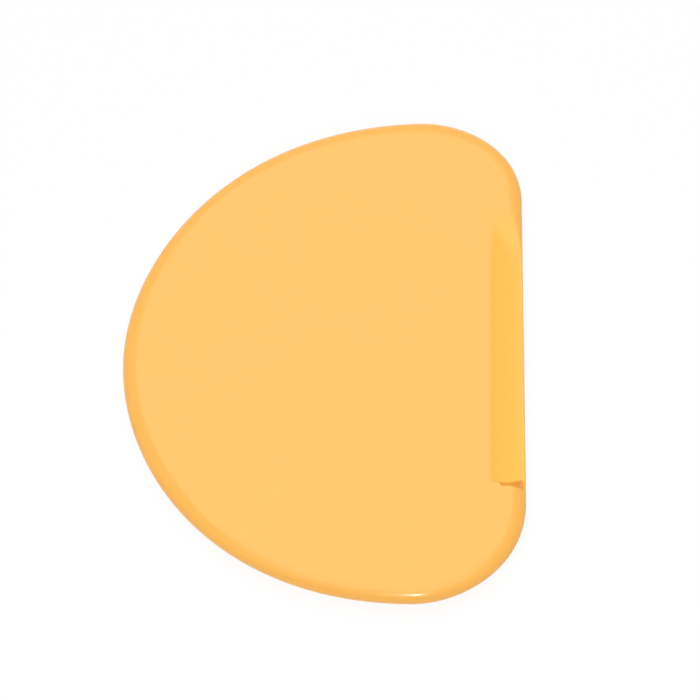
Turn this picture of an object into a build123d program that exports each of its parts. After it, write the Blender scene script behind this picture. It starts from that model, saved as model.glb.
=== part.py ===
from build123d import *
import os

# A D-shaped bowl scraper in millimetres: a silicone jacket moulded round a stiff, perforated nylon core.
# It lies on its back: +Z is up out of the front face, +X points at the straight edge,
# and the outline is the same on both sides of the X axis. The origin is under the middle of the blade.

# Blade outline
blade_length = 125.0
blade_width = 96.0
crown_setback = 25.5
corner_drop = 23.5

# Shape of the round side and of the corners, as shares of the spans that their curves cross
nose_pull_share = 0.45
crown_pull_share = 0.66
corner_crown_pull_share = 0.45
corner_edge_pull_share = 0.64

# Jacket
blade_thickness = 6.0
rim_round_width = 4.5
rim_face_width = 2.0

# Scraping lip along the straight edge, tapered on the front and on the back,
# with a step at its lower end and a ramp up to the face at its upper end
lip_width = 8.1
lip_land_width = 2.0
lip_thickness = 1.6
lip_end_setback = 3.4
lip_mouth_radius = 2.0
lip_ramp_length = 4.0

# Stiffener core: a perforated plate inside a frame with rounded edges,
# and the largest share of the core's thickness that one such edge may take
core_thickness = 2.0
core_rim_margin = 9.0
core_lip_margin = 3.0
core_frame_width = 3.0
core_edge_radius = 0.6
core_edge_limit_share = 0.45

# Holes in the core that the silicone flows through, and the least nylon between one and the frame
hole_pitch = 21.5
large_hole_diameter = 8.0
small_hole_diameter = 6.0
hole_row_setback = 42.5
hole_web = 0.5

# Nubs that hold the core in the middle of the mould
nub_diameter = 3.0
nub_cover = 0.4

# Length by which every cut runs past the silicone
overrun = 5.0

half_length = blade_length / 2
half_width = blade_width / 2
mid_height = blade_thickness / 2
crown_x = half_width - crown_setback
edge_half_length = half_length - corner_drop


def draw_outline(rim_inset, edge_inset):
    """Draw the D in the open BuildLine, moved in by rim_inset round the side and the corners,
    and by edge_inset along the straight edge."""
    nose = Vector(rim_inset - half_width, 0)
    crown = Vector(crown_x, half_length - rim_inset)
    edge_end = Vector(half_width - edge_inset, edge_half_length)
    side_span = crown - nose
    corner_span = crown - edge_end
    Line((edge_end.X, -edge_end.Y), edge_end)
    corner = Bezier(
        edge_end,
        edge_end + Vector(0, corner_edge_pull_share * corner_span.Y),
        crown - Vector(corner_crown_pull_share * corner_span.X, 0),
        crown,
    )
    side = Bezier(
        crown,
        crown - Vector(crown_pull_share * side_span.X, 0),
        nose + Vector(0, nose_pull_share * side_span.Y),
        nose,
    )
    mirror(side, about=Plane.XZ)
    mirror(corner, about=Plane.XZ)


# Stiffener core: it lies in the middle of the thickness, drawn in from the rim and from the lip,
# and its plate runs to the middle of the frame round it
core_edge_margin = lip_width + core_lip_margin
core_bottom = mid_height - core_thickness / 2
core_rounding = min(core_edge_radius, core_edge_limit_share * core_thickness)
frame_lap = core_frame_width / 2
frame_x = core_rim_margin + frame_lap - half_width
nub_height = mid_height - core_thickness / 2 - nub_cover

# The holes and nubs stand on one grid, whose middle row of large holes runs along the X axis
grid_middle_x = half_width - hole_row_setback
grid_rows_across = 2 * int(blade_width / hole_pitch) + 1
grid_rows_along = 2 * int(blade_length / hole_pitch) + 1
hole_inset = core_frame_width + hole_web + large_hole_diameter / 2

with BuildSketch() as hole_field:
    with BuildLine():
        draw_outline(core_rim_margin + hole_inset, core_edge_margin + hole_inset)
    make_face()
hole_area = hole_field.sketch.faces()[0]


def places_in_core(shift_x, shift_y):
    """Return the places of the grid, moved by a shift, that lie far enough inside the core."""
    with Locations((grid_middle_x + shift_x, shift_y)):
        grid = GridLocations(hole_pitch, hole_pitch, grid_rows_across, grid_rows_along)
    return [place for place in grid.locations if hole_area.is_inside(place.position)]


large_holes = places_in_core(0, 0)
small_holes = places_in_core(hole_pitch / 2, hole_pitch / 2)
nubs = places_in_core(0, hole_pitch / 2)

with BuildLine() as frame_path:
    draw_outline(core_rim_margin, core_edge_margin)

with BuildPart() as stiffener_core:
    with BuildSketch(Plane.XY.offset(core_bottom)):
        with BuildLine():
            draw_outline(core_rim_margin + frame_lap, core_edge_margin + frame_lap)
        make_face()
        with Locations(large_holes):
            Circle(large_hole_diameter / 2, mode=Mode.SUBTRACT)
        with Locations(small_holes):
            Circle(small_hole_diameter / 2, mode=Mode.SUBTRACT)
    extrude(amount=core_thickness)
    fillet(stiffener_core.edges().filter_by(GeomType.CIRCLE), radius=core_rounding)
    with BuildSketch(Plane.XZ):
        with Locations((frame_x, mid_height)):
            RectangleRounded(core_frame_width, core_thickness, core_rounding)
    sweep(path=frame_path.wire())
    with BuildSketch(Plane.XY.offset(core_bottom - nub_height)):
        with Locations(nubs):
            Circle(nub_diameter / 2)
    extrude(amount=core_thickness + 2 * nub_height)
stiffener_core.part.label = "stiffener_core"

# Relief over the front of the lip: a wedge down to the lip's land, whose mouth flares at the step
# and whose other end rises along the ramp
taper_start_x = half_width - lip_width
land_start_x = half_width - lip_land_width
land_height = mid_height + lip_thickness / 2
lip_half_length = edge_half_length - lip_end_setback
flare_start_x = half_width - lip_mouth_radius
flare_end_y = lip_half_length + lip_mouth_radius
relief_end_x = half_width + overrun
relief_height = blade_thickness + overrun
ramp_plane = Plane(
    origin=(land_start_x, lip_half_length, blade_thickness),
    z_dir=(0, land_height - blade_thickness, lip_ramp_length),
)

with BuildPart() as lip_relief:
    with BuildSketch(Plane.XZ):
        with BuildLine():
            Polyline(
                (taper_start_x, blade_thickness),
                (land_start_x, land_height),
                (relief_end_x, land_height),
                (relief_end_x, relief_height),
                (taper_start_x, relief_height),
                close=True,
            )
        make_face()
    extrude(amount=half_length, both=True)
    with BuildSketch():
        with BuildLine():
            step = Line((taper_start_x, -lip_half_length), (flare_start_x, -lip_half_length))
            flare = RadiusArc(step @ 1, (half_width, -flare_end_y), lip_mouth_radius)
            Polyline(
                flare @ 1,
                (relief_end_x, -flare_end_y),
                (relief_end_x, lip_half_length),
                (taper_start_x, lip_half_length),
                step @ 0,
            )
        make_face()
    extrude(amount=relief_height, mode=Mode.INTERSECT)
    split(bisect_by=ramp_plane, keep=Keep.TOP)

# Jacket: a half oval that follows the outline as the rim, round a flat plate, less the lip and the core
oval_x = rim_round_width - half_width
rim_inner_x = oval_x + rim_face_width
plate_inset = rim_round_width + rim_face_width / 2

with BuildLine() as rim_path:
    draw_outline(0, 0)

with BuildPart() as silicone_jacket:
    with BuildSketch(Plane.XZ):
        with BuildLine():
            oval = EllipticalCenterArc(
                (oval_x, mid_height), rim_round_width, mid_height, start_angle=90, arc_size=180
            )
            Polyline(oval @ 1, (rim_inner_x, 0), (rim_inner_x, blade_thickness), oval @ 0)
        make_face()
    sweep(path=rim_path.wire())
    with BuildSketch():
        with BuildLine():
            draw_outline(plate_inset, plate_inset)
        make_face()
    extrude(amount=blade_thickness)
    add(lip_relief.part, mode=Mode.SUBTRACT)
    add(lip_relief.part.mirror(Plane.XY.offset(mid_height)), mode=Mode.SUBTRACT)
    add(stiffener_core.part, mode=Mode.SUBTRACT)
silicone_jacket.part.label = "silicone_jacket"

os.makedirs("parts", exist_ok=True)
export_step(silicone_jacket.part, "parts/silicone_jacket.step")
export_step(stiffener_core.part, "parts/stiffener_core.step")
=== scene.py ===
"""A bowl scraper: a glossy silicone blade moulded over a perforated nylon core, on a pale studio floor."""

import logging
import math
from dataclasses import dataclass, field
from enum import Enum

import bmesh
import bpy
from mathutils import Matrix, Vector


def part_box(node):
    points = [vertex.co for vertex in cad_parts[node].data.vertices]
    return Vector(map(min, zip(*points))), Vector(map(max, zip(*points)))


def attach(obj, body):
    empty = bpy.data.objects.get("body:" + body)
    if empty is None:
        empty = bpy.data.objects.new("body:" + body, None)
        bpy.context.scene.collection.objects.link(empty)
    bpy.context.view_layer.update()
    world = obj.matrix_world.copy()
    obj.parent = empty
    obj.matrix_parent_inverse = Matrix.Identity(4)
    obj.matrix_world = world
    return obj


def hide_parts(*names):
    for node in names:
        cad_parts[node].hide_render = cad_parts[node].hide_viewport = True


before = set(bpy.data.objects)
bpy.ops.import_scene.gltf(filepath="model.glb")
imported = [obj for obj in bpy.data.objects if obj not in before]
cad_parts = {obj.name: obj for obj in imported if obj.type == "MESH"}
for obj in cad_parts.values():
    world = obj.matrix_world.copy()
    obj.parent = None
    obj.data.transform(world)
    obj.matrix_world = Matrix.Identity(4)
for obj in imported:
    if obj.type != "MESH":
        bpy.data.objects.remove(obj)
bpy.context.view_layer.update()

MM = 0.001
BODY = "root"
LIP_CUT = "lip_cut"
# The attribute that masks the painted shade in the crease of the lip's notch
NOTCH_SHADE_MASK = "notch"

log = logging.getLogger("bowl_scraper")

Number = "Flow | float"
Colour = tuple[float, float, float]

# The colour sockets of a Mix node, by number, because its other kinds of value have sockets of the same names
MIX_COLOURS = (6, 7)
MIX_RESULT = 2


class Op(Enum):
    """The sums that a node tree works out."""

    ADD = "ADD"
    SUBTRACT = "SUBTRACT"
    MULTIPLY = "MULTIPLY"
    DIVIDE = "DIVIDE"
    ABSOLUTE = "ABSOLUTE"
    MINIMUM = "MINIMUM"
    MAXIMUM = "MAXIMUM"
    SOFT_MINIMUM = "SMOOTH_MIN"
    SOFT_MAXIMUM = "SMOOTH_MAX"
    ROOT = "SQRT"
    SIGN = "SIGN"
    COSINE = "COSINE"


class Lamp(Enum):
    """The studio's lamps: each one's direction from the blade, distance, width, height and power."""

    OVERHEAD = ((0.0, 0.08, 1.0), 1.0, 1.1, 1.8, 10.7)
    FRONT = ((0.02, -0.80, 0.62), 0.8, 0.05, 0.06, 1.4)

    @property
    def place(self) -> Vector:
        """Where the lamp hangs."""
        return Vector(self.value[0]).normalized() * self.value[1]


@dataclass(frozen=True)
class Flow:
    """A number or vector that runs through a node tree, so that a formula reads as it is written."""

    graph: "NodeGraph"
    socket: bpy.types.NodeSocket

    def __add__(self, other: Number) -> "Flow":
        """Return the sum."""
        return self.graph.math(Op.ADD, self, other)

    def __sub__(self, other: Number) -> "Flow":
        """Return the difference."""
        return self.graph.math(Op.SUBTRACT, self, other)

    def __rsub__(self, other: float) -> "Flow":
        """Return a plain number less this one."""
        return self.graph.math(Op.SUBTRACT, other, self)

    def __mul__(self, other: Number) -> "Flow":
        """Return the product."""
        return self.graph.math(Op.MULTIPLY, self, other)

    def __truediv__(self, other: Number) -> "Flow":
        """Return the quotient."""
        return self.graph.math(Op.DIVIDE, self, other)

    def __rtruediv__(self, other: float) -> "Flow":
        """Return a plain number divided by this one."""
        return self.graph.math(Op.DIVIDE, other, self)

    __radd__ = __add__


class NodeGraph:
    """A node tree, for shapes or for materials, that is written as formulas."""

    def __init__(self, tree: bpy.types.NodeTree) -> None:
        """Take a tree and empty it."""
        self.tree = tree
        tree.nodes.clear()

    def plug(self, value: "Flow | float | tuple | Vector", socket: bpy.types.NodeSocket) -> None:
        """Link a flow to a socket, or set a plain value on it."""
        if isinstance(value, Flow):
            self.tree.links.new(value.socket, socket)
        else:
            socket.default_value = value

    def node(self, kind: str, inputs: dict | None = None, **settings: object) -> bpy.types.Node:
        """Add a node.

        Args:
            kind: The node's type.
            inputs: What goes into its sockets, by name or by number.
            settings: The node's own options.

        Returns:
            The node.
        """
        made = self.tree.nodes.new(kind)
        for name, value in settings.items():
            setattr(made, name, value)
        for name, value in (inputs or {}).items():
            self.plug(value, made.inputs[name])
        return made

    def flow(self, node: bpy.types.Node, output: str | int = 0) -> Flow:
        """Return what leaves a node by one of its outputs."""
        return Flow(self, node.outputs[output])

    def math(self, op: Op, *values: Number) -> Flow:
        """Return the result of a sum."""
        return self.flow(self.node("ShaderNodeMath", dict(enumerate(values)), operation=op.value))

    def vector_math(self, operation: str, *values: "Flow | tuple | Vector") -> Flow:
        """Return the result of a sum on vectors."""
        return self.flow(self.node("ShaderNodeVectorMath", dict(enumerate(values)), operation=operation))

    def scaled(self, vector: Flow, factor: Number) -> Flow:
        """Return a vector times a number."""
        return self.flow(self.node("ShaderNodeVectorMath", {0: vector, "Scale": factor}, operation="SCALE"))

    def split(self, vector: Flow) -> tuple[Flow, Flow, Flow]:
        """Return a vector's three parts."""
        made = self.node("ShaderNodeSeparateXYZ", {0: vector})
        return self.flow(made, 0), self.flow(made, 1), self.flow(made, 2)

    def ease(self, value: Flow, start: Number, end: Number) -> Flow:
        """Return a number that rises smoothly from 0 at the start to 1 at the end."""
        inputs = {"Value": value, "From Min": start, "From Max": end}
        return self.flow(self.node("ShaderNodeMapRange", inputs, interpolation_type="SMOOTHSTEP"))

    def limited(self, value: Flow) -> Flow:
        """Return a number held between 0 and 1."""
        return self.flow(self.node("ShaderNodeClamp", {"Value": value}))

    def noise(self, place: Flow, size: float, detail: float) -> Flow:
        """Return a cloudy pattern from 0 to 1 whose patches are about one size across."""
        inputs = {"Vector": place, "Scale": 1 / size, "Detail": detail}
        return self.flow(self.node("ShaderNodeTexNoise", inputs))

    def mixed(self, factor: Flow, first: "Flow | Colour", second: "Flow | Colour") -> Flow:
        """Return the first colour where the factor is 0, and the second where it is 1."""
        made = self.node("ShaderNodeMix", {"Factor": factor}, data_type="RGBA")
        for colour, socket in ((first, made.inputs[MIX_COLOURS[0]]), (second, made.inputs[MIX_COLOURS[1]])):
            self.plug(colour if isinstance(colour, Flow) else (*colour, 1.0), socket)
        return self.flow(made, MIX_RESULT)

    def white_rays(self) -> Flow:
        """Return 1 for the rays that see plain white: the camera's, and those in gloss or clear things."""
        rays = self.node("ShaderNodeLightPath")
        seen = [self.flow(rays, name) for name in ("Is Camera Ray", "Is Glossy Ray", "Is Transmission Ray")]
        return self.limited(seen[0] + seen[1] + seen[2])


@dataclass
class BladeOutline:
    """The blade's D, which the rim follows: a straight edge, two corners and a long round side."""

    length: float
    width: float
    crown_setback: float = 25.5 * MM
    corner_drop: float = 23.5 * MM
    nose_pull_share: float = 0.45
    crown_pull_share: float = 0.66
    corner_crown_pull_share: float = 0.45
    corner_edge_pull_share: float = 0.64
    side_steps: int = 84
    corner_steps: int = 40

    @property
    def edge_half_length(self) -> float:
        """Half the length of the straight edge."""
        return self.length / 2 - self.corner_drop

    def spans(self) -> list[list[Vector]]:
        """Return the control points of the corner and of the round side, from the edge to the nose."""
        nose = Vector((-self.width / 2, 0))
        crown = Vector((self.width / 2 - self.crown_setback, self.length / 2))
        edge_end = Vector((self.width / 2, self.edge_half_length))
        side = crown - nose
        corner = crown - edge_end
        edge_pull = Vector((0, self.corner_edge_pull_share * corner.y))
        corner_pull = Vector((self.corner_crown_pull_share * corner.x, 0))
        crown_pull = Vector((self.crown_pull_share * side.x, 0))
        nose_pull = Vector((0, self.nose_pull_share * side.y))
        return [
            [edge_end, edge_end + edge_pull, crown - corner_pull, crown],
            [crown, crown - crown_pull, nose + nose_pull, nose],
        ]

    @staticmethod
    def on_curve(points: list[Vector], t: float) -> tuple[Vector, Vector]:
        """Return a place on a cubic curve.

        Args:
            points: The curve's four control points.
            t: How far along the curve the place is, from 0 to 1.

        Returns:
            The place, and the direction there that points into the blade.
        """
        a, b, c, d = points
        u = 1 - t
        place = u**3 * a + 3 * u * u * t * b + 3 * u * t * t * c + t**3 * d
        along = u * u * (b - a) + 2 * u * t * (c - b) + t * t * (d - c)
        along.normalize()
        return place, Vector((-along.y, along.x))

    def stations(self, edge_places: list[float]) -> list[tuple[Vector, Vector]]:
        """Return the rim's places all round, with the direction into the blade at each.

        Args:
            edge_places: The distances from the middle at which the straight edge gets a place.

        Returns:
            The places counter-clockwise, without a repeated one.
        """
        into = Vector((-1, 0))
        half = [(Vector((self.width / 2, y)), into) for y in edge_places]
        for points, steps in zip(self.spans(), (self.corner_steps, self.side_steps)):
            half += [self.on_curve(points, i / steps) for i in range(steps)]
        nose = [(Vector((-self.width / 2, 0)), Vector((1, 0)))]
        flip = Vector((1, -1))
        rest = [(place * flip, inward * flip) for place, inward in reversed(half) if place.y > 0]
        return half + nose + rest


@dataclass(frozen=True)
class SiliconeFinish:
    """Glossy food-grade silicone in one warm yellow, a little cloudy, and deeper at the lip, with painted
    shade darkening the crease of its notch.
    """

    colour: Colour = (0.985, 0.491, 0.094)
    cloud_colour: Colour = (0.980, 0.479, 0.085)
    thin_colour: Colour = (0.980, 0.515, 0.071)
    thin_depth: float = 0.8 * MM
    # Painted shade: the crease of the notch at the lip's lower end is darkened in the colour, on top of its
    # real groove
    painted_notch_shade: Colour = (0.78, 0.34, 0.050)
    roughness: float = 0.20
    roughness_spread: float = 0.05
    index: float = 1.43
    gloss: float = 0.50
    glow_weight: float = 0.15
    glow_depth: float = 1.2 * MM
    glow_shares: Colour = (1.0, 0.5, 0.18)
    cloud_size: float = 30 * MM
    cloud_detail: float = 3.0
    skin_size: float = 2.4 * MM
    skin_depth: float = 0.02 * MM
    skin_strength: float = 0.10
    grain_size: float = 0.25 * MM
    grain_depth: float = 0.006 * MM
    grain_strength: float = 0.12
    fine_detail: float = 2.0

    def material(self) -> bpy.types.Material:
        """Return the material."""
        made = bpy.data.materials.new("silicone")
        made.use_nodes = True
        graph = NodeGraph(made.node_tree)
        place = graph.flow(graph.node("ShaderNodeTexCoord"), "Object")
        clouds = graph.noise(place, self.cloud_size, self.cloud_detail)
        skin = graph.noise(place, self.skin_size, self.fine_detail)
        grain = graph.noise(place, self.grain_size, self.fine_detail)
        cut = graph.flow(graph.node("ShaderNodeAttribute", attribute_name=LIP_CUT), "Fac")
        body = graph.mixed(clouds, self.colour, self.cloud_colour)
        colour = graph.mixed(graph.ease(cut, 0.0, self.thin_depth), body, self.thin_colour)
        # Painted shade: the notch's crease is tinted darker wherever its attribute is high
        notch = graph.flow(graph.node("ShaderNodeAttribute", attribute_name=NOTCH_SHADE_MASK), "Fac")
        colour = graph.mixed(notch, colour, self.painted_notch_shade)
        rough = self.roughness + (clouds + grain - 1.0) * self.roughness_spread
        ripple = graph.node(
            "ShaderNodeBump",
            {"Strength": self.skin_strength, "Distance": self.skin_depth, "Height": skin},
        )
        relief = graph.node(
            "ShaderNodeBump",
            {
                "Strength": self.grain_strength,
                "Distance": self.grain_depth,
                "Height": grain,
                "Normal": graph.flow(ripple),
            },
        )
        shader = graph.node(
            "ShaderNodeBsdfPrincipled",
            {
                "Base Color": colour,
                "Roughness": rough,
                "IOR": self.index,
                "Specular IOR Level": self.gloss,
                "Normal": graph.flow(relief),
                "Subsurface Weight": self.glow_weight,
                "Subsurface Radius": self.glow_shares,
                "Subsurface Scale": self.glow_depth,
            },
        )
        graph.node("ShaderNodeOutputMaterial", {"Surface": graph.flow(shader)})
        return made


@dataclass(frozen=True)
class NylonFinish:
    """Natural nylon, as moulded: a milky matte white with a faint flow pattern."""

    colour: Colour = (0.83, 0.79, 0.70)
    flow_colour: Colour = (0.78, 0.73, 0.62)
    roughness: float = 0.55
    roughness_spread: float = 0.12
    index: float = 1.53
    flow_size: float = 14 * MM
    flow_detail: float = 4.0
    flow_stretch: tuple[float, float, float] = (1.0, 0.35, 1.0)
    spark_size: float = 0.18 * MM
    spark_detail: float = 2.0
    spark_depth: float = 0.01 * MM
    spark_strength: float = 0.3

    def material(self) -> bpy.types.Material:
        """Return the material."""
        made = bpy.data.materials.new("natural_nylon")
        made.use_nodes = True
        graph = NodeGraph(made.node_tree)
        place = graph.flow(graph.node("ShaderNodeTexCoord"), "Object")
        stretched = graph.node("ShaderNodeMapping", {"Vector": place, "Scale": self.flow_stretch})
        streaks = graph.noise(graph.flow(stretched), self.flow_size, self.flow_detail)
        sparks = graph.noise(place, self.spark_size, self.spark_detail)
        relief = graph.node(
            "ShaderNodeBump",
            {"Strength": self.spark_strength, "Distance": self.spark_depth, "Height": sparks},
        )
        shader = graph.node(
            "ShaderNodeBsdfPrincipled",
            {
                "Base Color": graph.mixed(streaks, self.colour, self.flow_colour),
                "Roughness": self.roughness + (sparks - 0.5) * self.roughness_spread,
                "IOR": self.index,
                "Normal": graph.flow(relief),
            },
        )
        graph.node("ShaderNodeOutputMaterial", {"Surface": graph.flow(shader)})
        return made


@dataclass(frozen=True)
class FloorFinish:
    """A pale studio sheet, which reads as white to the eye and in reflections and keeps the shadow."""

    colour: Colour = (0.93, 0.93, 0.93)
    white_share: float = 0.9

    def material(self) -> bpy.types.Material:
        """Return the material."""
        made = bpy.data.materials.new("studio_sheet")
        made.use_nodes = True
        graph = NodeGraph(made.node_tree)
        share = graph.white_rays() * self.white_share
        sheet = graph.node("ShaderNodeBsdfDiffuse", {"Color": (*self.colour, 1.0)})
        white = graph.node("ShaderNodeEmission", {"Strength": 1.0})
        mix = graph.node("ShaderNodeMixShader", {0: share, 1: graph.flow(sheet), 2: graph.flow(white)})
        graph.node("ShaderNodeOutputMaterial", {"Surface": graph.flow(mix)})
        return made


@dataclass
class SiliconeJacket:
    """The outer skin of the silicone round the core: a flat blade with a half-oval rim and a thin lip."""

    outline: BladeOutline
    thickness: float
    rim_round_width: float = 4.5 * MM
    lip_width: float = 8.1 * MM
    lip_land_width: float = 0.6 * MM
    lip_thickness: float = 1.6 * MM
    lip_end_setback: float = 3.4 * MM
    lip_ramp_length: float = 11.0 * MM
    notch_setback: float = 0.55 * MM
    notch_reach: float = 6.3 * MM
    notch_full_reach: float = 5.2 * MM
    notch_width: float = 1.0 * MM
    notch_rise: float = 0.8 * MM
    notch_flare: float = 1.15 * MM
    notch_flare_reach: float = 3.8 * MM
    notch_flare_full_reach: float = 1.0 * MM
    notch_depth: float = 0.5 * MM
    notch_shallow_share: float = 0.6
    notch_softness: float = 0.35 * MM
    notch_edge_margin: float = 1.0 * MM
    taper_hollow: float = 0.2
    wall_softness: float = 0.15 * MM
    crease_softness: float = 0.25 * MM
    ramp_softness: float = 1.0 * MM
    crease_start_share: float = 0.8
    crease_full_share: float = 1.4
    edge_softness: float = 0.5 * MM
    edge_soft_inset: float = 1.0 * MM
    edge_crisp_inset: float = 2.0 * MM
    land_softness: float = 0.6 * MM
    band_end: float = 9.0 * MM
    rim_rows: int = 24
    band_rows: int = 30
    face_rows: int = 28
    edge_steps: tuple[int, int, int, int] = (20, 14, 40, 5)
    merge_distance: float = 0.001 * MM
    hole_pitch: float = 21.5 * MM
    hole_row_setback: float = 42.5 * MM
    sink_depth: float = 0.03 * MM
    wave_depth: float = 0.05 * MM
    wave_size: float = 45 * MM
    wave_seed: float = 7.0
    dip_full_share: float = 0.25
    finish: SiliconeFinish = field(default_factory=SiliconeFinish)

    @property
    def lip_half_length(self) -> float:
        """How far the lip runs from the middle of the edge, to the step at its lower end."""
        return self.outline.edge_half_length - self.lip_end_setback

    def edge_places(self) -> list[float]:
        """Return the distances from the middle of the straight edge at which the mesh has a column.

        They are close together where the lip's notch and its step are.
        """
        ramp_start = self.lip_half_length - self.lip_ramp_length
        notch_start = self.lip_half_length - self.notch_setback
        notch_start -= self.notch_rise + 2 * self.wall_softness
        notch_end = notch_start + self.notch_width + self.notch_flare + 4 * self.wall_softness
        places = [0.0]
        ends = (ramp_start, notch_start, notch_end, self.outline.edge_half_length)
        for end, steps in zip(ends, self.edge_steps):
            start = places[-1]
            places += [start + (end - start) * (i + 1) / steps for i in range(steps)]
        return places[:-1]

    def path(self) -> bpy.types.Object:
        """Return the outline as a closed loop of edges that knows the way into the blade."""
        stations = self.outline.stations(self.edge_places())
        count = len(stations)
        mesh = bpy.data.meshes.new("silicone_jacket")
        loop = [(i, (i + 1) % count) for i in range(count)]
        mesh.from_pydata([place.to_3d() for place, _ in stations], loop, [])
        inward = mesh.attributes.new("inward", "FLOAT_VECTOR", "POINT")
        for i, (_, direction) in enumerate(stations):
            inward.data[i].vector = direction.to_3d()
        made = bpy.data.objects.new("silicone_jacket", mesh)
        bpy.context.scene.collection.objects.link(made)
        return made

    def sizes(self) -> dict[str, tuple[str, float]]:
        """Return the tree's inputs: each one's name, its socket's kind and its value."""
        return {
            "Thickness": ("NodeSocketFloat", self.thickness),
            "Half Width": ("NodeSocketFloat", self.outline.width / 2),
            "Rim Round Width": ("NodeSocketFloat", self.rim_round_width),
            "Lip Width": ("NodeSocketFloat", self.lip_width),
            "Lip Land Width": ("NodeSocketFloat", self.lip_land_width),
            "Lip Thickness": ("NodeSocketFloat", self.lip_thickness),
            "Lip Half Length": ("NodeSocketFloat", self.lip_half_length),
            "Lip Ramp Length": ("NodeSocketFloat", self.lip_ramp_length),
            "Notch Setback": ("NodeSocketFloat", self.notch_setback),
            "Notch Reach": ("NodeSocketFloat", self.notch_reach),
            "Notch Full Reach": ("NodeSocketFloat", self.notch_full_reach),
            "Notch Width": ("NodeSocketFloat", self.notch_width),
            "Notch Rise": ("NodeSocketFloat", self.notch_rise),
            "Notch Flare": ("NodeSocketFloat", self.notch_flare),
            "Notch Flare Reach": ("NodeSocketFloat", self.notch_flare_reach),
            "Notch Flare Full Reach": ("NodeSocketFloat", self.notch_flare_full_reach),
            "Notch Depth": ("NodeSocketFloat", self.notch_depth),
            "Notch Shallow Share": ("NodeSocketFloat", self.notch_shallow_share),
            "Notch Softness": ("NodeSocketFloat", self.notch_softness),
            "Notch Edge Margin": ("NodeSocketFloat", self.notch_edge_margin),
            "Taper Hollow": ("NodeSocketFloat", self.taper_hollow),
            "Wall Softness": ("NodeSocketFloat", self.wall_softness),
            "Crease Softness": ("NodeSocketFloat", self.crease_softness),
            "Ramp Softness": ("NodeSocketFloat", self.ramp_softness),
            "Crease Start Share": ("NodeSocketFloat", self.crease_start_share),
            "Crease Full Share": ("NodeSocketFloat", self.crease_full_share),
            "Edge Softness": ("NodeSocketFloat", self.edge_softness),
            "Edge Soft Inset": ("NodeSocketFloat", self.edge_soft_inset),
            "Edge Crisp Inset": ("NodeSocketFloat", self.edge_crisp_inset),
            "Land Softness": ("NodeSocketFloat", self.land_softness),
            "Band End": ("NodeSocketFloat", self.band_end),
            "Rim Rows": ("NodeSocketInt", self.rim_rows),
            "Band Rows": ("NodeSocketInt", self.band_rows),
            "Face Rows": ("NodeSocketInt", self.face_rows),
            "Hole Pitch": ("NodeSocketFloat", self.hole_pitch),
            "Hole Row Setback": ("NodeSocketFloat", self.hole_row_setback),
            "Sink Depth": ("NodeSocketFloat", self.sink_depth),
            "Wave Depth": ("NodeSocketFloat", self.wave_depth),
            "Wave Size": ("NodeSocketFloat", self.wave_size),
            "Wave Seed": ("NodeSocketFloat", self.wave_seed),
            "Dip Full Share": ("NodeSocketFloat", self.dip_full_share),
            "Merge Distance": ("NodeSocketFloat", self.merge_distance),
        }

    def tree(self) -> bpy.types.NodeTree:
        """Return the tree that sweeps rows round the outline and shapes them into the blade."""
        made = bpy.data.node_groups.new("jacket_moulding", "GeometryNodeTree")
        made.interface.new_socket("Path", in_out="INPUT", socket_type="NodeSocketGeometry")
        for name, (kind, _) in self.sizes().items():
            made.interface.new_socket(name, in_out="INPUT", socket_type=kind)
        made.interface.new_socket("Finish", in_out="INPUT", socket_type="NodeSocketMaterial")
        made.interface.new_socket("Jacket", in_out="OUTPUT", socket_type="NodeSocketGeometry")
        graph = NodeGraph(made)
        given = graph.node("NodeGroupInput")
        size = {name: graph.flow(given, name) for name in self.sizes()}

        rows = self.swept_rows(graph, graph.flow(given, "Path"), size)
        x, y, inset, shrink = self.plan(graph, size)
        uncut, cut, notch = self.heights(graph, size, x, y, inset)
        height = uncut - cut - self.dip(graph, size, x, y, shrink)
        rows = self.kept(graph, rows, LIP_CUT, cut)
        # The notch's share is kept on the points as the mask of the painted shade in its crease
        rows = self.kept(graph, rows, NOTCH_SHADE_MASK, notch)
        side = self.stored(graph, "side")
        up = size["Thickness"] * 0.5 + side * height
        place = graph.flow(graph.node("ShaderNodeCombineXYZ", {0: x, 1: y, 2: up}))
        shaped = graph.node("GeometryNodeSetPosition", {"Geometry": rows, "Position": place})
        closed = graph.node(
            "GeometryNodeMergeByDistance",
            {"Geometry": graph.flow(shaped), "Distance": size["Merge Distance"]},
        )
        for name in ("rim_place", "inward", "row", "side"):
            closed = graph.node("GeometryNodeRemoveAttribute", {"Geometry": graph.flow(closed), "Name": name})
        smooth = graph.node("GeometryNodeSetShadeSmooth", {"Geometry": graph.flow(closed)})
        real = graph.node("GeometryNodeRealizeInstances", {"Geometry": graph.flow(smooth)})
        dressed = graph.node(
            "GeometryNodeSetMaterial", {"Geometry": graph.flow(real), "Material": graph.flow(given, "Finish")}
        )
        graph.node("NodeGroupOutput", {"Jacket": graph.flow(dressed)})
        return made

    @staticmethod
    def stored(graph: NodeGraph, name: str, kind: str = "FLOAT") -> Flow:
        """Return a named value that the swept mesh carries."""
        return graph.flow(graph.node("GeometryNodeInputNamedAttribute", {"Name": name}, data_type=kind))

    @staticmethod
    def kept(graph: NodeGraph, geometry: Flow, name: str, value: Flow, kind: str = "FLOAT") -> Flow:
        """Return the geometry with a value kept on its points by name."""
        inputs = {"Geometry": geometry, "Name": name, "Value": value}
        settings = {"data_type": kind, "domain": "POINT"}
        return graph.flow(graph.node("GeometryNodeStoreNamedAttribute", inputs, **settings))

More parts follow.
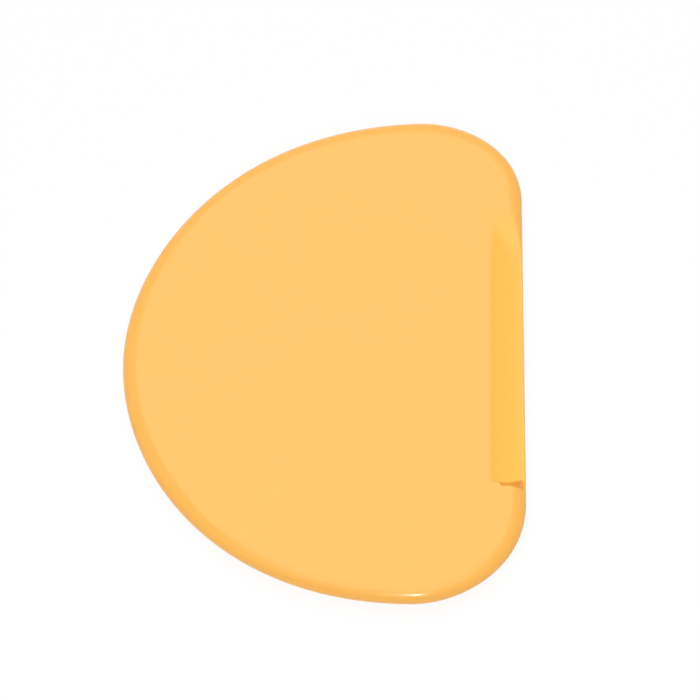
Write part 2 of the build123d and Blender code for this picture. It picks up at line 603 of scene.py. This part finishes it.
    def swept_rows(self, graph: NodeGraph, path: Flow, size: dict[str, Flow]) -> Flow:
        """Sweep a line of numbered rows along the outline.

        Args:
            graph: The jacket's tree.
            path: The outline.
            size: The tree's inputs, by name.

        Returns:
            The mesh, with rows from the middle of the back to the middle of the front.
        """
        position = graph.flow(graph.node("GeometryNodeInputPosition"))
        rail = self.kept(graph, path, "rim_place", position, "FLOAT_VECTOR")
        rail = graph.flow(graph.node("GeometryNodeMeshToCurve", {"Mesh": rail}))
        last_row = size["Rim Rows"] + size["Band Rows"] + size["Face Rows"]
        count = last_row * 2.0 + 1.0
        line = graph.flow(
            graph.node("GeometryNodeMeshLine", {"Count": count, "Offset": (0.0, MM, 0.0)}, mode="OFFSET")
        )
        number = graph.flow(graph.node("GeometryNodeInputIndex")) - last_row
        line = self.kept(graph, line, "row", graph.math(Op.ABSOLUTE, number))
        line = self.kept(graph, line, "side", graph.math(Op.SIGN, number))
        line = graph.flow(graph.node("GeometryNodeMeshToCurve", {"Mesh": line}))
        return graph.flow(graph.node("GeometryNodeCurveToMesh", {"Curve": rail, "Profile Curve": line}))

    def plan(self, graph: NodeGraph, size: dict[str, Flow]) -> tuple[Flow, Flow, Flow, Flow]:
        """Return where each point lies in plan.

        The rim's rows are close together at its edge, the band's are even,
        and the face's draw in to its middle.

        Args:
            graph: The jacket's tree.
            size: The tree's inputs, by name.

        Returns:
            The place along X and along Y, how far in from the rim it is, and how far along to the middle.
        """
        row = self.stored(graph, "row")
        turn = graph.limited(row / size["Rim Rows"]) * (math.pi / 2)
        rim = (1.0 - graph.math(Op.COSINE, turn)) * size["Rim Round Width"]
        along_band = graph.limited((row - size["Rim Rows"]) / size["Band Rows"])
        inset = rim + along_band * (size["Band End"] - size["Rim Round Width"])
        shrink = graph.limited((row - size["Rim Rows"] - size["Band Rows"]) / size["Face Rows"])
        rim_place = self.stored(graph, "rim_place", "FLOAT_VECTOR")
        inward = self.stored(graph, "inward", "FLOAT_VECTOR")
        place = graph.vector_math("ADD", rim_place, graph.scaled(inward, inset))
        place = graph.scaled(place, 1.0 - shrink)
        x, y, _ = graph.split(place)
        return x, y, inset, shrink

    def heights(
        self, graph: NodeGraph, size: dict[str, Flow], x: Flow, y: Flow, inset: Flow
    ) -> tuple[Flow, Flow, Flow]:
        """Return how high the face is and where the lip is cut into it.

        Args:
            graph: The jacket's tree.
            size: The tree's inputs, by name.
            x: Each point's place along X.
            y: Each point's place along Y.
            inset: How far in from the rim each point is.

        Returns:
            How far the rim's oval stands from the blade's middle plane, how deep the lip is cut into it,
            and how far into the notch at the lip's lower end each point is, from 0 to 1, which also masks the
            painted shade in the notch's crease.
        """
        fall = 1.0 - graph.math(Op.MINIMUM, inset / size["Rim Round Width"], 1.0)
        oval = graph.math(Op.ROOT, 1.0 - fall * fall) * (size["Thickness"] * 0.5)

        land_height = size["Lip Thickness"] * 0.5
        taper_rise = size["Thickness"] * 0.5 - land_height
        past_land = size["Half Width"] - size["Lip Land Width"] - x
        taper = graph.math(Op.SOFT_MAXIMUM, past_land, 0.0, size["Land Softness"])
        taper = taper / (size["Lip Width"] - size["Lip Land Width"])
        lip = land_height + taper * (1.0 - (1.0 - taper) * size["Taper Hollow"]) * taper_rise
        before_end = (size["Lip Half Length"] - y) / size["Lip Ramp Length"]
        ramp = land_height + (1.0 - before_end) * taper_rise
        past_ramp = graph.ease(before_end, size["Crease Start Share"], size["Crease Full Share"])
        soft = size["Ramp Softness"] - past_ramp * (size["Ramp Softness"] - size["Crease Softness"])
        floor = graph.math(Op.SOFT_MAXIMUM, lip, ramp, soft)

        reach = size["Half Width"] - x
        opening = 1.0 - graph.ease(reach, size["Notch Full Reach"], size["Notch Reach"])
        flare = 1.0 - graph.ease(reach, size["Notch Flare Full Reach"], size["Notch Flare Reach"])
        before_notch = y + (size["Lip Half Length"] - size["Notch Setback"]) - flare * size["Notch Rise"]
        past_step = before_notch * -1.0 - (opening * size["Notch Width"] + flare * size["Notch Flare"])
        wall = size["Wall Softness"]
        open_part = 1.0 - graph.ease(past_step, wall * -1.0, wall)
        foot = size["Notch Softness"]
        # The notch's share sets its groove depth and is also the mask of the painted shade in its crease; the
        # shallow share makes both fainter away from the flare
        notch = opening * (1.0 - graph.ease(before_notch, foot * -1.0, foot))
        notch = notch * graph.ease(reach, 0.0, size["Notch Edge Margin"])
        notch = notch * (size["Notch Shallow Share"] + flare * (1.0 - size["Notch Shallow Share"]))

        at_edge = 1.0 - graph.ease(inset, size["Edge Soft Inset"], size["Edge Crisp Inset"])
        soft = graph.math(Op.MAXIMUM, soft, at_edge * size["Edge Softness"])
        relieved = graph.math(Op.SOFT_MINIMUM, oval, floor - notch * size["Notch Depth"], soft)
        return oval, (oval - relieved) * open_part, notch * open_part

    def dip(self, graph: NodeGraph, size: dict[str, Flow], x: Flow, y: Flow, shrink: Flow) -> Flow:
        """Return how far the face has sunk: faintly over each hole of the core, and in long slow waves.

        Args:
            graph: The jacket's tree.
            size: The tree's inputs, by name.
            x: Each point's place along X.
            y: Each point's place along Y.
            shrink: How far along to the middle of the face each point is, from 0 to 1.

        Returns:
            The depth, which fades out towards the rim.
        """
        turn = math.tau / size["Hole Pitch"]
        across = graph.math(Op.COSINE, (x - (size["Half Width"] - size["Hole Row Setback"])) * turn)
        along = graph.math(Op.COSINE, y * turn)
        sinks = (across * 0.5 + 0.5) * (along * 0.5 + 0.5) * size["Sink Depth"]
        place = graph.flow(graph.node("ShaderNodeCombineXYZ", {0: x, 1: y, 2: self.stored(graph, "side")}))
        noise = graph.node(
            "ShaderNodeTexNoise",
            {
                "Vector": place,
                "W": size["Wave Seed"],
                "Scale": 1.0 / size["Wave Size"],
                "Detail": 0.0,
            },
            noise_dimensions="4D",
        )
        waves = graph.flow(noise) * size["Wave Depth"]
        return (sinks + waves) * graph.ease(shrink, 0.0, size["Dip Full Share"])

    def build(self) -> bpy.types.Object:
        """Make the jacket's mesh and dress it.

        Returns:
            The jacket's object, with its place in its mesh.
        """
        made = self.path()
        tree = self.tree()
        modifier = made.modifiers.new("moulding", "NODES")
        modifier.node_group = tree
        keys = {item.name: item.identifier for item in tree.interface.items_tree if item.in_out == "INPUT"}
        for name, (_, value) in self.sizes().items():
            modifier[keys[name]] = value
        modifier[keys["Finish"]] = self.finish.material()
        shaped = made.evaluated_get(bpy.context.evaluated_depsgraph_get())
        mesh = bpy.data.meshes.new_from_object(shaped)
        made.modifiers.remove(modifier)
        made.data = mesh
        mesh.name = made.name
        self.turn_outwards(mesh)
        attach(made, BODY)
        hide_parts("silicone_jacket")
        return made

    @staticmethod
    def turn_outwards(mesh: bpy.types.Mesh) -> None:
        """Turn the faces outwards."""
        work = bmesh.new()
        work.from_mesh(mesh)
        bmesh.ops.recalc_face_normals(work, faces=work.faces)
        work.to_mesh(mesh)
        work.free()


@dataclass
class StiffenerCore:
    """The nylon plate inside the silicone. Its shape is the frame's own, so it is only dressed."""

    node: str = "stiffener_core"
    finish: NylonFinish = field(default_factory=NylonFinish)

    def build(self) -> bpy.types.Object:
        """Dress the core and return its object."""
        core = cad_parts[self.node]
        core.data.materials.clear()
        core.data.materials.append(self.finish.material())
        return core


@dataclass
class Studio:
    """A pale floor, soft lamps and the camera, which looks down on the blade from beyond its lower end."""

    focal_length: float = 77.14
    sensor_width: float = 36.0
    pitch: float = -25.686
    yaw: float = -6.003
    roll: float = -2.117
    offset: tuple[float, float, float] = (-6.56 * MM, -0.72 * MM, -360.05 * MM)
    floor_size: float = 4.0
    sky_level: float = 0.4
    sky_lean: float = 0.85
    near_limit: float = 0.01

    def add_floor(self) -> None:
        """Lay the floor under the blade."""
        mesh = bpy.data.meshes.new("floor")
        half = self.floor_size / 2
        corners = [(-half, -half, 0), (half, -half, 0), (half, half, 0), (-half, half, 0)]
        mesh.from_pydata(corners, [], [range(len(corners))])
        floor = bpy.data.objects.new("floor", mesh)
        bpy.context.scene.collection.objects.link(floor)
        mesh.materials.append(FloorFinish().material())

    def add_camera(self) -> None:
        """Put the camera where the blade's outline falls on the photograph's."""
        turn = (
            Matrix.Rotation(math.radians(self.pitch), 3, "X")
            @ Matrix.Rotation(math.radians(self.yaw), 3, "Y")
            @ Matrix.Rotation(math.radians(self.roll), 3, "Z")
        ).transposed()
        data = bpy.data.cameras.new("camera")
        data.lens = self.focal_length
        data.sensor_width = self.sensor_width
        data.clip_start = self.near_limit
        camera = bpy.data.objects.new("camera", data)
        camera.matrix_world = Matrix.Translation(-(turn @ Vector(self.offset))) @ turn.to_4x4()
        bpy.context.scene.collection.objects.link(camera)
        bpy.context.scene.camera = camera

    def add_sky(self) -> None:
        """Surround the set with white light, stronger from behind, that looks plain white from the camera."""
        world = bpy.data.worlds.new("studio")
        world.use_nodes = True
        graph = NodeGraph(world.node_tree)
        _, backwards, _ = graph.split(graph.flow(graph.node("ShaderNodeTexCoord"), "Generated"))
        lit = (backwards * self.sky_lean + 1.0) * self.sky_level
        level = lit + graph.white_rays() * (1.0 - lit)
        light = graph.node("ShaderNodeBackground", {"Strength": level})
        graph.node("ShaderNodeOutputWorld", {"Surface": graph.flow(light)})
        bpy.context.scene.world = world

    @staticmethod
    def add_lamp(lamp: Lamp) -> None:
        """Hang a soft lamp that shines at the middle of the blade."""
        *_, width, height, watts = lamp.value
        data = bpy.data.lights.new(lamp.name.lower(), "AREA")
        data.shape = "RECTANGLE"
        data.size, data.size_y = width, height
        data.energy = watts
        made = bpy.data.objects.new(data.name, data)
        made.location = lamp.place
        made.rotation_euler = (-lamp.place).to_track_quat("-Z", "Y").to_euler()
        bpy.context.scene.collection.objects.link(made)

    def build(self) -> None:
        """Set up the floor, the camera, the sky and the lamps."""
        self.add_floor()
        self.add_camera()
        self.add_sky()
        for lamp in Lamp:
            self.add_lamp(lamp)
        bpy.context.scene.view_settings.view_transform = "Standard"


def main() -> None:
    """Build the set and the scraper's pieces in order, and report each piece."""
    logging.basicConfig(level=logging.INFO, format="%(name)s: %(message)s")
    Studio().build()
    low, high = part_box("silicone_jacket")
    span = high - low
    outline = BladeOutline(length=span.y, width=span.x)
    for part in (SiliconeJacket(outline, thickness=span.z), StiffenerCore()):
        piece = part.build()
        log.info("%s: %d faces", piece.name, len(piece.data.polygons))


if __name__ == "__main__":
    main()
